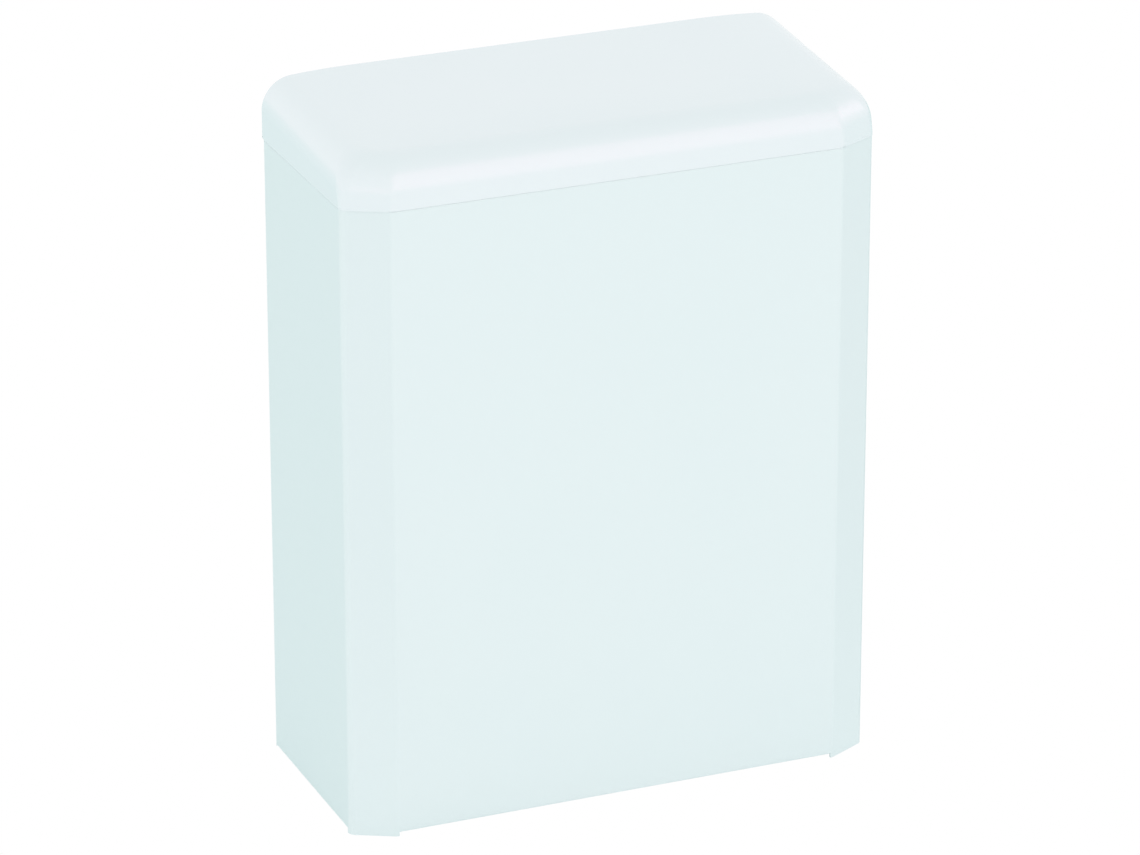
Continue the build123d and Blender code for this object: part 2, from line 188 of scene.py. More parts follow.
def feed(tree, socket, value):
    """Links a socket to a field, a socket or a node's first output, or sets a plain value."""
    if isinstance(value, Field):
        value = value.source
    if isinstance(value, bpy.types.Node):
        value = value.outputs[0]
    if isinstance(value, bpy.types.NodeSocket):
        tree.links.new(value, socket)
    else:
        socket.default_value = value


def add_node(tree, kind, sockets=None, **settings):
    """Node of a kind with its settings, and with the named or numbered sockets fed."""
    node = tree.nodes.new(kind)
    for name, value in settings.items():
        setattr(node, name, value)
    for name, value in (sockets or {}).items():
        feed(tree, node.inputs[name], value)
    return node


def add_vector(tree, x=0.0, y=0.0, z=0.0):
    """Vector of three fields or numbers."""
    return add_node(tree, "ShaderNodeCombineXYZ", {"X": x, "Y": y, "Z": z})


def split(tree, vector):
    """Fields of a vector's X, Y and Z."""
    parts = add_node(tree, "ShaderNodeSeparateXYZ", {"Vector": vector}).outputs
    return [Field(tree, parts[axis]) for axis in "XYZ"]


def add_noise(tree, place, size, detail):
    """Soft noise at a place, from about 0 to 1, with bumps of about a size."""
    return add_node(
        tree, "ShaderNodeTexNoise", {"Vector": place, "Scale": size.math("POWER", -1), "Detail": detail}
    )


def add_share(tree, value, begins, ends, most=1.0, interpolation="LINEAR"):
    """Share that grows from 0 to the most while a value goes from where it begins to where it ends."""
    return add_node(
        tree, "ShaderNodeMapRange",
        {"Value": value, "From Min": begins, "From Max": ends, "To Max": most},
        interpolation_type=interpolation,
    )


def add_mix(tree, share, first, second):
    """Colour that goes from the first to the second with a share."""
    return add_node(tree, "ShaderNodeMixRGB", {"Fac": share, "Color1": first, "Color2": second})


def new_tree(name, kind, inputs, outputs):
    """Node group with named inputs and outputs, its inputs' sockets by name and its output node."""
    tree = bpy.data.node_groups.new(name, kind)
    for direction, sockets in (("INPUT", inputs), ("OUTPUT", outputs)):
        for socket_name, socket_type in sockets.items():
            tree.interface.new_socket(socket_name, in_out=direction, socket_type=socket_type)
    return tree, tree.nodes.new("NodeGroupInput").outputs, tree.nodes.new("NodeGroupOutput")


# Shader groups that several finishes share

def make_fine_grain():
    """Small even bumps, such as the orange peel of a stoved enamel, over a slow swell."""
    swell_stretch = 14.0
    tree, given, made = new_tree(
        "fine grain", "ShaderNodeTree",
        {"Grain Size": "NodeSocketFloat", "Swell": "NodeSocketFloat"},
        {"Height": "NodeSocketFloat"},
    )
    place = add_node(tree, "ShaderNodeTexCoord").outputs["Object"]
    size = Field(tree, given["Grain Size"])
    fine = Field(tree, add_noise(tree, place, size, detail=1.0))
    slow = Field(tree, add_noise(tree, place, size * swell_stretch, detail=1.0))
    feed(tree, made.inputs["Height"], fine + slow * Field(tree, given["Swell"]))
    return tree


def make_tone_drift():
    """Colour and roughness that drift a little over a surface, as on a handled thing."""
    tree, given, made = new_tree(
        "tone drift", "ShaderNodeTree",
        {
            "Colour": "NodeSocketColor",
            "Drifted Colour": "NodeSocketColor",
            "Patch Size": "NodeSocketFloat",
            "Roughness": "NodeSocketFloat",
            "Roughness Spread": "NodeSocketFloat",
        },
        {"Colour": "NodeSocketColor", "Roughness": "NodeSocketFloat"},
    )
    place = add_node(tree, "ShaderNodeTexCoord").outputs["Object"]
    patches = add_noise(tree, place, Field(tree, given["Patch Size"]), detail=1.5)
    share = add_share(tree, patches, begins=0.2, ends=0.8, interpolation="SMOOTHSTEP")
    feed(tree, made.inputs["Colour"], add_mix(tree, share, given["Colour"], given["Drifted Colour"]))
    spread = (Field(tree, share) - 0.5) * Field(tree, given["Roughness Spread"])
    feed(tree, made.inputs["Roughness"], Field(tree, given["Roughness"]) + spread)
    return tree


def make_rolling_lines():
    """Fine lines along one direction, as the rolls leave them on sheet and drawn wire."""
    tree, given, made = new_tree(
        "rolling lines", "ShaderNodeTree",
        {"Stretch": "NodeSocketVector", "Line Size": "NodeSocketFloat"},
        {"Height": "NodeSocketFloat", "Mask": "NodeSocketFloat"},
    )
    place = add_node(tree, "ShaderNodeTexCoord").outputs["Object"]
    drawn = add_node(tree, "ShaderNodeMapping", {"Vector": place, "Scale": given["Stretch"]})
    lines = add_noise(tree, drawn, Field(tree, given["Line Size"]), detail=3.0)
    feed(tree, made.inputs["Height"], lines)
    feed(tree, made.inputs["Mask"], add_share(tree, lines, begins=0.4, ends=0.7))
    return tree


fine_grain = make_fine_grain()
tone_drift = make_tone_drift()
rolling_lines = make_rolling_lines()


def add_group(tree, group, sockets):
    """Node of a shared group with its sockets fed."""
    node = tree.nodes.new("ShaderNodeGroup")
    node.node_tree = group
    for name, value in sockets.items():
        feed(tree, node.inputs[name], value)
    return node


def new_finish(name, plain=None):
    """Material with the plain values set on its shader, its tree and its shader."""
    material = bpy.data.materials.new(name)
    material.use_nodes = True
    tree = material.node_tree
    shader = tree.nodes["Principled BSDF"]
    for socket, value in (plain or {}).items():
        shader.inputs[socket].default_value = value
    return material, tree, shader


def add_drift(tree, shader, colour, drifted, patch_size, roughness, spread):
    """Feeds a shader's colour and roughness from the tone drift group."""
    drift = add_group(tree, tone_drift, {
        "Colour": (*colour, 1),
        "Drifted Colour": (*drifted, 1),
        "Patch Size": patch_size,
        "Roughness": roughness,
        "Roughness Spread": spread,
    })
    feed(tree, shader.inputs["Base Color"], drift.outputs["Colour"])
    feed(tree, shader.inputs["Roughness"], drift.outputs["Roughness"])
    return drift


def add_relief(tree, shader, height, depth):
    """Bump of a real depth from a height that runs from about 0 to 1."""
    bump = add_node(tree, "ShaderNodeBump", {"Height": height, "Distance": depth, "Strength": 1.0})
    feed(tree, shader.inputs["Normal"], bump)


def add_grain(tree, shader, size, swell, depth):
    """Relief of the fine grain group."""
    grain = add_group(tree, fine_grain, {"Grain Size": size, "Swell": swell})
    add_relief(tree, shader, grain, depth)


# Finishes

def make_white_enamel():
    """Stoved white enamel on sheet steel: glossy, with a faint orange peel."""
    patch_size = 60 * MM
    peel_size = 2.2 * MM
    peel_depth = 0.004 * MM
    clean = (0.762, 0.856, 0.866)
    drifted = (0.755, 0.852, 0.864)
    material, tree, shader = new_finish("white enamel")
    add_drift(tree, shader, clean, drifted, patch_size, roughness=0.30, spread=0.04)
    add_grain(tree, shader, peel_size, swell=3.0, depth=peel_depth)
    return material


def make_white_plastic():
    """Injection-moulded gloss white plastic, smoother than the enamel."""
    patch_size = 45 * MM
    grain_size = 1.1 * MM
    grain_depth = 0.0015 * MM
    clean = (0.796, 0.894, 0.908)
    drifted = (0.790, 0.891, 0.906)
    gloss_tint = (1.0, 0.28, 0.50, 1)
    material, tree, shader = new_finish("white plastic", {"Specular Tint": gloss_tint})
    add_drift(tree, shader, clean, drifted, patch_size, roughness=0.245, spread=0.04)
    add_grain(tree, shader, grain_size, swell=5.0, depth=grain_depth)
    return material


def make_zinc_steel():
    """Zinc-plated steel with rolling lines and the faint tint of its passivation."""
    patch_size = 12 * MM
    line_size = 0.5 * MM
    line_depth = 0.004 * MM
    line_stretch = (0.06, 1.0, 1.0)
    line_roughness = 0.08
    clean = (0.60, 0.62, 0.64)
    tinted = (0.56, 0.56, 0.52)
    material, tree, shader = new_finish("zinc steel", {"Metallic": 1.0})
    drift = add_drift(tree, shader, clean, tinted, patch_size, roughness=0.34, spread=0.12)
    lines = add_group(tree, rolling_lines, {"Stretch": line_stretch, "Line Size": line_size})
    rough = Field(tree, drift.outputs["Roughness"]) + Field(tree, lines.outputs["Mask"]) * line_roughness
    feed(tree, shader.inputs["Roughness"], rough)
    add_relief(tree, shader, lines.outputs["Height"], line_depth)
    return material


def make_rivet_aluminium():
    """Bare aluminium of the blind rivets."""
    patch_size = 1.5 * MM
    grain_size = 0.25 * MM
    grain_depth = 0.006 * MM
    clean = (0.72, 0.73, 0.74)
    dulled = (0.62, 0.63, 0.65)
    material, tree, shader = new_finish("rivet aluminium", {"Metallic": 1.0})
    add_drift(tree, shader, clean, dulled, patch_size, roughness=0.30, spread=0.15)
    add_grain(tree, shader, grain_size, swell=1.0, depth=grain_depth)
    return material


def make_nylon():
    """Natural nylon of the bushes, a little waxy."""
    patch_size = 3 * MM
    grain_size = 0.3 * MM
    grain_depth = 0.004 * MM
    glow_depth = 1 * MM
    clean = (0.80, 0.78, 0.70)
    yellowed = (0.75, 0.72, 0.63)
    material, tree, shader = new_finish("nylon", {"Subsurface Weight": 0.15, "Subsurface Scale": glow_depth})
    add_drift(tree, shader, clean, yellowed, patch_size, roughness=0.45, spread=0.10)
    add_grain(tree, shader, grain_size, swell=1.0, depth=grain_depth)
    return material


def make_buffer_rubber():
    """Dark rubber of the buffers, with a fine moulded texture."""
    patch_size = 2 * MM
    grain_size = 0.35 * MM
    grain_depth = 0.02 * MM
    clean = (0.030, 0.030, 0.032)
    dusty = (0.045, 0.045, 0.046)
    material, tree, shader = new_finish("buffer rubber", {"Specular IOR Level": 0.35})
    add_drift(tree, shader, clean, dusty, patch_size, roughness=0.72, spread=0.15)
    add_grain(tree, shader, grain_size, swell=0.5, depth=grain_depth)
    return material


finishes = {
    "white_enamel": make_white_enamel(),
    "white_plastic": make_white_plastic(),
    "zinc_steel": make_zinc_steel(),
    "rivet_aluminium": make_rivet_aluminium(),
    "nylon": make_nylon(),
    "buffer_rubber": make_buffer_rubber(),
}


def add_object(name, data):
    """Object of a mesh, a light or a camera, in the scene."""
    thing = bpy.data.objects.new(name, data)
    bpy.context.scene.collection.objects.link(thing)
    return thing


def new_piece(name, mesh, slot):
    """Object of a mesh that is already in its place, with a slot's finish."""
    piece = add_object(name, mesh)
    mesh.materials.clear()
    mesh.materials.append(finishes[slot])
    return piece


def keep_faces_flat(piece):
    """Smooth shading in which a flat face between rounded edges still looks flat."""
    weighted = piece.modifiers.new("flat faces", "WEIGHTED_NORMAL")
    weighted.weight = flat_face_weight
    piece.data.shade_smooth()


def add_edge_round(piece, radius, turn=edge_turn):
    """Rounds the edges that turn by more than some degrees."""
    bevel = piece.modifiers.new("edge round", "BEVEL")
    bevel.width = radius
    bevel.segments = edge_segments
    bevel.limit_method = "ANGLE"
    bevel.angle_limit = radians(turn)
    bevel.use_clamp_overlap = True
    keep_faces_flat(piece)


def settle(piece):
    """Turns a piece with its modifiers into a plain mesh."""
    bpy.context.view_layer.update()
    depsgraph = bpy.context.evaluated_depsgraph_get()
    mesh = bpy.data.meshes.new_from_object(piece.evaluated_get(depsgraph))
    piece.modifiers.clear()
    piece.data = mesh
    return mesh


# Shapes that a geometry group makes from named sizes

def new_shape_tree(name, lengths, counts):
    """Geometry group, its sizes as fields by name, its inputs' sockets by name and its output node."""
    inputs = {"Geometry": "NodeSocketGeometry"}
    inputs.update({length: "NodeSocketFloat" for length in lengths})
    inputs.update({count: "NodeSocketInt" for count in counts})
    inputs["Material"] = "NodeSocketMaterial"
    tree, given, made = new_tree(name, "GeometryNodeTree", inputs, {"Geometry": "NodeSocketGeometry"})
    size = {size_name: Field(tree, given[size_name]) for size_name in (*lengths, *counts)}
    return tree, size, given, made


def end_shape_tree(tree, given, made, geometry):
    """Ends a geometry group with smooth shading, real geometry and the given material."""
    smooth = add_node(tree, "GeometryNodeSetShadeSmooth", {"Geometry": geometry})
    real = add_node(tree, "GeometryNodeRealizeInstances", {"Geometry": smooth})
    dressed = add_node(tree, "GeometryNodeSetMaterial", {"Geometry": real, "Material": given["Material"]})
    feed(tree, made.inputs["Geometry"], dressed)


def grow(name, tree, slot, sizes, finishing=None):
    """Piece that a geometry group makes from named sizes, as a plain mesh."""
    piece = new_piece(name, bpy.data.meshes.new(name), slot)
    modifier = piece.modifiers.new("shape", "NODES")
    modifier.node_group = tree
    for item in tree.interface.items_tree:
        if item.in_out == "INPUT" and item.name in sizes:
            modifier[item.identifier] = sizes[item.name]
    if finishing:
        finishing(piece)
    mesh = settle(piece)
    mesh.name = name
    return piece


# Lid

def add_lid_outlines(tree, size, index, levels):
    """Levels of the body's chamfered outline that roll in and crown, with rounded folds."""
    stations = add_node(tree, "GeometryNodeMeshLine", {"Count": levels})
    line = add_node(tree, "GeometryNodeCurvePrimitiveLine")
    section = add_node(tree, "GeometryNodeResampleCurve", {"Curve": line, "Count": outline_corners})
    copies = add_node(tree, "GeometryNodeInstanceOnPoints", {"Points": stations, "Instance": section})
    sections = add_node(tree, "GeometryNodeRealizeInstances", {"Geometry": copies})

    # a point's level, its place from the rear on its half, and its side
    level = (index / outline_corners).math("FLOOR")
    place = index - level * outline_corners
    half_place = place.math("MINIMUM", place * -1 + (outline_corners - 1))
    side = (place - (outline_corners - 1) / 2).math("SIGN")

    # how far the level has rolled and crowned, and how far that takes it in and up
    rolled = level.within(0, 1)
    turn = ((level - 1) / size["Roll Steps"]).within(0, 1) * size["Roll Turn"]
    crown = ((level - 1 - size["Roll Steps"]) / size["Crown Steps"]).within(0, 1)
    uncrowned = crown * -1 + 1
    crowned_in = size["Crown Reach"] * crown
    moved_in = size["Roll Radius"] * (turn.math("COSINE") * -1 + 1) + crowned_in
    roll_rise = size["Roll Radius"] * turn.math("SINE")
    rise = roll_rise + size["Crown Rise"] * (uncrowned * uncrowned * -1 + 1)

    # the slanting strip moves in square to itself, and grows wider as it leans back
    front_half_turn = size["Strip Along Side"].math("ARCTAN2", size["Strip Along Front"]) / 2
    side_half_turn = front_half_turn * -1 + pi / 4
    above_seam = (size["Front Skirt"] + roll_rise) * rolled
    growth = size["Strip Growth"] * above_seam + size["Crown Growth"] * crowned_in
    strip_side_y = size["Front Y"] + size["Strip Along Side"]
    strip_front_x = size["Side X"] - size["Strip Along Front"]
    strip_back = strip_side_y + moved_in * side_half_turn.math("TANGENT") + growth
    strip_end = strip_front_x - moved_in * front_half_turn.math("TANGENT") - growth

    # from the rear along the side to the strip's back, and on to its end at the front
    level_x = size["Side X"] - moved_in
    level_y = size["Front Y"] + moved_in
    rear = size["Rear Y"] - half_place * size["Swing Reach"] / swing_steps
    kind = add_node(tree, "GeometryNodeIndexSwitch", data_type="FLOAT")
    kind.index_switch_items.new()
    past_rear = (half_place - swing_steps).within(0, 2)
    for socket, value in zip(kind.inputs, (past_rear, rear, strip_back, level_y)):
        feed(tree, socket, value)
    y = Field(tree, kind)
    at_front = (half_place - (swing_steps + 1)).within(0, 1)
    x = (level_x + (strip_end - level_x) * at_front) * side
    sloping = size["Roll Base Z"] + rise + (y - size["Rear Y"]) * size["Slope"]
    z = size["Bottom Z"] + (sloping - size["Bottom Z"]) * rolled
    shaped = add_node(
        tree, "GeometryNodeSetPosition", {"Geometry": sections, "Position": add_vector(tree, x, y, z)}
    )
    at_strip = (half_place - swing_steps).within(0, 1)
    corner_radius = (size["Fold Radius"] + size["Corner Growth"] * above_seam) * at_strip
    return add_node(
        tree, "GeometryNodeFilletCurve",
        {"Curve": shaped, "Count": size["Fold Steps"], "Radius": corner_radius},
        mode="POLY",
    )


def add_lid_grid(tree, size, index, levels, outlines):
    """Skin through the places of the levels, whose last level closes the top."""
    around = size["Fold Steps"] * rounded_corners + outline_corners
    grid = add_node(tree, "GeometryNodeMeshGrid", {"Vertices X": levels, "Vertices Y": around})
    position = add_node(tree, "GeometryNodeInputPosition")
    sampled = add_node(
        tree, "GeometryNodeSampleIndex", {"Geometry": outlines, "Value": position, "Index": index},
        data_type="FLOAT_VECTOR", domain="POINT",
    )
    x, y, z = split(tree, sampled)

    # the last level folds onto a line from the middle to the rear
    spine = (index / around).math("FLOOR").math("GREATER_THAN", levels - 1.5)
    folded_x = x * (spine * -1 + 1)
    folded_y = y + (y.math("MAXIMUM", 0) - y) * spine

    # behind the hinge the rim stays inside the circle of its swing
    behind = (y - size["Hinge Y"]).math("MAXIMUM", 0)
    swing_depth = (size["Seam Swing"] * size["Seam Swing"] - behind * behind).math("SQRT")
    cleared_z = z.math("MAXIMUM", size["Hinge Z"] - swing_depth)
    folded_z = cleared_z + (folded_y - y) * size["Slope"]
    skin = add_node(
        tree, "GeometryNodeSetPosition",
        {"Geometry": grid, "Position": add_vector(tree, folded_x, folded_y, folded_z)},
    )
    merged = add_node(tree, "GeometryNodeMergeByDistance", {"Geometry": skin, "Distance": weld_distance})
    return add_node(tree, "GeometryNodeFlipFaces", {"Mesh": merged})


def make_lid_skin_tree():
    """Outer skin of the lid: levels of the body's chamfered outline that roll in and crown."""
    tree, size, given, made = new_shape_tree(
        "lid skin",
        [
            "Side X", "Front Y", "Rear Y", "Bottom Z", "Roll Base Z", "Slope", "Strip Along Front",
            "Strip Along Side", "Fold Radius", "Front Skirt", "Roll Radius", "Roll Turn", "Crown Reach",
            "Crown Rise", "Strip Growth", "Crown Growth", "Corner Growth", "Hinge Y", "Hinge Z",
            "Seam Swing", "Swing Reach",
        ],
        ["Roll Steps", "Crown Steps", "Fold Steps"],
    )
    index = Field(tree, add_node(tree, "GeometryNodeInputIndex"))
    # the rim, the roll's base and the closing line, besides a level after each step
    plain_levels = 3
    levels = size["Roll Steps"] + size["Crown Steps"] + plain_levels
    outlines = add_lid_outlines(tree, size, index, levels)
    end_shape_tree(tree, given, made, add_lid_grid(tree, size, index, levels, outlines))
    return tree


def thicken(piece, thickness):
    """Gives a skin its wall, inwards."""
    wall = piece.modifiers.new("wall", "SOLIDIFY")
    wall.thickness = thickness
    wall.offset = -1
    wall.use_even_offset = True


def thicken_lid(piece):
    """Gives the lid's skin its wall and rounds the edges of its rim."""
    thicken(piece, lid_wall)
    add_edge_round(piece, inner_edge_round, turn=inner_edge_turn)


def make_lid_lip(skin_tree, skin_sizes):
    """Fine lip under the lid's rim that hangs in front of the shell's folded edge."""
    lip_sizes = {
        "Side X": lid_side_x - rim_lip_recess,
        "Front Y": lid_front_y + rim_lip_recess,
        "Rear Y": lid_rear_y - rim_lip_recess,
        "Bottom Z": body_height - rim_lip_hang,
        "Seam Swing": hinge_z - body_height + rim_lip_hang,
    }
    lip = grow("lid_lip", skin_tree, "white_plastic", {**skin_sizes, **lip_sizes})
    mesh = bmesh.new()
    mesh.from_mesh(lip.data)
    bmesh.ops.bisect_plane(
        mesh, geom=[*mesh.verts, *mesh.edges, *mesh.faces], dist=cut_distance,
        plane_co=(0, 0, lid_bottom_z + rim_lip_root), plane_no=(0, 0, 1), clear_outer=True,
    )
    mesh.to_mesh(lip.data)
    mesh.free()
    thicken(lip, rim_lip_thickness)
    settle(lip)
    return lip


def skin_z(x, y, depth):
    """Height of the lid's skin over a place, at a depth below its surface."""
    reach = min(lid_side_x - abs(x), y - lid_front_y) - depth
    radius = lid_roll - depth
    rolled = min(max(reach, 0), radius * (1 - cos(roll_turn)))
    crown = min((reach - rolled) / crown_reach, 1)
    base = roll_base_z + (y - lid_rear_y) * lid_slope
    return base + sqrt(radius**2 - (radius - rolled) ** 2) + crown_rise * (1 - (1 - crown) ** 2)


def add_prism(mesh, lower, upper):
    """Closed prism between two loops of as many points."""
    low = [mesh.verts.new(point) for point in lower]
    high = [mesh.verts.new(point) for point in upper]
    mesh.faces.new(low[::-1])
    mesh.faces.new(high)
    for place in range(len(low)):
        after = (place + 1) % len(low)
        mesh.faces.new((low[place], low[after], high[after], high[place]))


def spaced(start, end, steps):
    """Places from a start to an end in even steps, both included."""
    return [start + (end - start) * step / steps for step in range(steps + 1)]


def add_hanging_wall(mesh, stations, y, thickness, bottom_z):
    """Wall across the lid that hangs from the middle of its skin."""
    bottoms = [(x, bottom_z) for x in stations]
    tops = [(x, skin_z(x, y, wall_middle)) for x in reversed(stations)]
    add_prism(
        mesh,
        [(x, y - thickness / 2, z) for x, z in bottoms + tops],
        [(x, y + thickness / 2, z) for x, z in bottoms + tops],
    )


def add_lug(mesh, x):
    """Hinge lug with its long rib, hanging from the middle of the skin."""
    arc = [
        (hinge_y + lug_eye * sin(radians(turn)), hinge_z - lug_eye * cos(radians(turn)))
        for turn in range(90, -1, -lug_turn_step)
    ]
    tops = [(y, skin_z(x, y, wall_middle)) for y in spaced(rib_tail_y, hinge_y + lug_eye, rib_stations)]
    outline = arc + [(rib_tail_y, rib_tail_z)] + tops
    add_prism(mesh, [(x, y, z) for y, z in outline], [(x + lug_width, y, z) for y, z in outline])


def add_post(mesh, x, y, bottom_z):
    """Round post under the lid's front that meets a buffer."""
    turns = [2 * pi * side / post_sides for side in range(post_sides)]
    circle = [(x + post_radius * cos(turn), y + post_radius * sin(turn)) for turn in turns]
    add_prism(
        mesh,
        [(rim_x, rim_y, bottom_z) for rim_x, rim_y in circle],
        [(rim_x, rim_y, skin_z(rim_x, rim_y, wall_middle)) for rim_x, rim_y in circle],
    )


def make_lid_fittings():
    """Lugs, ribs, back lip and posts of the lid, as one mesh of closed shells."""
    mesh = bmesh.new()

    # a lug on each side of the ears of both brackets
    ear_in_x = bush_low.x
    ear_out_x = bush_high.x - bush_flange
    for lug_x in (ear_out_x + lug_gap, ear_in_x - lug_gap - lug_width):
        add_lug(mesh, lug_x)
        add_lug(mesh, -lug_x - lug_width)

    rib_half = side_x - cross_rib_side_gap
    rib_places = spaced(-rib_half, rib_half, cross_rib_stations)
    add_hanging_wall(mesh, rib_places, rib_tail_y, cross_rib_width, rib_tail_z)

    # a back lip between the sides' walls, with slots for the brackets
    roll_middle = lid_roll - wall_middle
    lip_rise = hinge_z - roll_base_z
    lip_end = lid_side_x - wall_middle - roll_middle + sqrt(roll_middle**2 - lip_rise**2)
    slot_in_x = ear_in_x - lug_gap
    slot_out_x = ear_out_x + lug_gap
    lip_y = lid_rear_y - back_lip_depth / 2 - back_lip_inset
    for start, end in ((-lip_end, -slot_out_x), (-slot_in_x, slot_in_x), (slot_out_x, lip_end)):
        add_hanging_wall(mesh, spaced(start, end, back_lip_stations), lip_y, back_lip_depth, hinge_z)

    post_x = buffer_high.x - (buffer_high.y - buffer_low.y) / 2
    post_y = (buffer_low.y + buffer_high.y) / 2
    for side in (-1, 1):
        add_post(mesh, side * post_x, post_y, buffer_high.z + post_gap)

    bmesh.ops.recalc_face_normals(mesh, faces=mesh.faces)
    fittings = bpy.data.meshes.new("lid_fittings")
    mesh.to_mesh(fittings)
    mesh.free()
    piece = new_piece("lid_fittings", fittings, "white_plastic")
    add_edge_round(piece, inner_edge_round)
    settle(piece)
    return piece


def make_lid():
    """Moulded lid: its skin with a wall, its fittings and its fine lip, in one mesh."""
    skin_tree = make_lid_skin_tree()
    skin_sizes = {
        "Side X": lid_side_x,
        "Front Y": lid_front_y,
        "Rear Y": lid_rear_y,
        "Bottom Z": lid_bottom_z,
        "Roll Base Z": roll_base_z,
        "Slope": lid_slope,
        "Strip Along Front": strip_along_front,
        "Strip Along Side": strip_along_side,
        "Fold Radius": upright_fold + lid_proud,
        "Front Skirt": roll_top_front - lid_roll,
        "Roll Radius": lid_roll,
        "Roll Turn": roll_turn,
        "Crown Reach": crown_reach,
        "Crown Rise": crown_rise,
        "Strip Growth": strip_growth_share,
        "Crown Growth": crown_growth_share,
        "Corner Growth": corner_growth_share,
        "Hinge Y": hinge_y,
        "Hinge Z": hinge_z,
        "Seam Swing": seam_swing,
        "Swing Reach": swing_reach,
        "Roll Steps": roll_steps,
        "Crown Steps": crown_steps,
        "Fold Steps": fold_steps,
        "Material": finishes["white_plastic"],
    }
    lid = grow("moulded_lid", skin_tree, "white_plastic", skin_sizes, finishing=thicken_lid)
    joined = bmesh.new()
    joined.from_mesh(lid.data)
    for part in (make_lid_fittings(), make_lid_lip(skin_tree, skin_sizes)):
        joined.from_mesh(part.data)
        bpy.data.objects.remove(part)
    joined.to_mesh(lid.data)
    joined.free()
    keep_faces_flat(lid)
    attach(lid, "lid")
    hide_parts("lid")


make_lid()


# Blind rivets

def add_dome(tree, radius, height):
    """Ball with its poles along Y, flattened there from a radius to a height."""
    ball = add_node(
        tree, "GeometryNodeMeshUVSphere", {"Segments": rivet_sides, "Rings": dome_rings, "Radius": 1.0}
    )
    turned = add_node(tree, "GeometryNodeTransform", {"Geometry": ball, "Rotation": (-quarter_turn, 0, 0)})
    scale = add_vector(tree, radius, height, radius)
    return add_node(tree, "GeometryNodeTransform", {"Geometry": turned, "Scale": scale})


def add_rivet(tree, size):
    """Blind rivet: a domed head with its mandrel hole, a shank and a swollen tail."""
    x, y, z = split(tree, add_node(tree, "GeometryNodeInputPosition"))
    from_middle = (x * x + z * z).math("SQRT")
    in_hole = from_middle.math("LESS_THAN", size["Hole Radius"]) * y.math("GREATER_THAN", 0)
    head = add_node(
        tree, "GeometryNodeSetPosition",
        {
            "Geometry": add_dome(tree, size["Head Radius"], size["Head Height"]),
            "Offset": add_vector(tree, y=in_hole * size["Hole Depth"] * -1),
        },
    )
    tail = add_node(
        tree, "GeometryNodeTransform",
        {
            "Geometry": add_dome(tree, size["Tail Radius"], size["Tail Height"]),
            "Translation": add_vector(tree, y=size["Grip"] * -1),
        },
    )
    cylinder = add_node(
        tree, "GeometryNodeMeshCylinder",
        {"Vertices": rivet_sides, "Radius": size["Shank Radius"], "Depth": size["Grip"]},
    )
    shank = add_node(
        tree, "GeometryNodeTransform",
        {
            "Geometry": cylinder,
            "Translation": add_vector(tree, y=size["Grip"] * -0.5),
            "Rotation": (quarter_turn, 0, 0),
        },
    )
    rivet = add_node(tree, "GeometryNodeJoinGeometry")
    for shape in (head, tail, shank):
        feed(tree, rivet.inputs["Geometry"], shape)
    return rivet


def make_rivet_tree():
    """Two columns of blind rivets with some rows, upright on a plate."""
    tree, size, given, made = new_shape_tree(
        "blind rivets",
        [
            "Half Width", "Low Z", "High Z", "Plate Y", "Head Radius", "Head Height", "Hole Radius",
            "Hole Depth", "Shank Radius", "Grip", "Tail Radius", "Tail Height",
        ],
        ["Rows"],
    )
    grid = add_node(
        tree, "GeometryNodeMeshGrid",
        {
            "Size X": size["Half Width"] * 2,
            "Size Y": size["High Z"] - size["Low Z"],
            "Vertices X": 2,
            "Vertices Y": size["Rows"],
        },
    )
    middle = add_vector(tree, y=size["Plate Y"], z=(size["High Z"] + size["Low Z"]) * 0.5)
    upright = add_node(
        tree, "GeometryNodeTransform",
        {"Geometry": grid, "Translation": middle, "Rotation": (quarter_turn, 0, 0)},
    )
    rivets = add_node(
        tree, "GeometryNodeInstanceOnPoints", {"Points": upright, "Instance": add_rivet(tree, size)}
    )
    end_shape_tree(tree, given, made, rivets)
    return tree


rivet_tree = make_rivet_tree()


def add_rivets(node, rows):
    """Rivets in the place of a packed group, in two columns of some rows."""
    low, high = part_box(node)
    plate_y = high.y - rivet_head
    rivets = grow(
        f"domed_{node}", rivet_tree, "rivet_aluminium",
        {
            "Half Width": high.x - rivet_head_radius,
            "Low Z": low.z + rivet_head_radius,
            "High Z": high.z - rivet_head_radius,
            "Plate Y": plate_y,
            "Head Radius": rivet_head_radius,
            "Head Height": rivet_head,
            "Hole Radius": rivet_hole_radius,
            "Hole Depth": rivet_hole_depth,
            "Shank Radius": rivet_shank_radius,
            "Grip": plate_y - low.y - rivet_tail,
            "Tail Radius": rivet_tail_radius,
            "Tail Height": rivet_tail,
            "Rows": rows,
            "Material": finishes["rivet_aluminium"],
        },
    )
    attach(rivets, "body")
    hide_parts(node)


add_rivets("back_rivets", 3)
add_rivets("bracket_rivets", 2)


# Rigid sheet and turned pieces keep their packed form, with softened edges

def soften(node, slot, body, edge_round):
    """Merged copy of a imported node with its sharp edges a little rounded, in the node's place."""
    merged = bmesh.new()
    merged.from_mesh(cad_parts[node].data)
    bmesh.ops.remove_doubles(merged, verts=merged.verts, dist=weld_distance)
    bmesh.ops.dissolve_limit(
        merged, angle_limit=radians(flat_turn), verts=merged.verts, edges=merged.edges, delimit={"NORMAL"}
    )
    mesh = bpy.data.meshes.new(f"finished_{node}")
    merged.to_mesh(mesh)
    merged.free()
    piece = new_piece(f"finished_{node}", mesh, slot)
    add_edge_round(piece, edge_round)
    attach(piece, body)
    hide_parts(node)


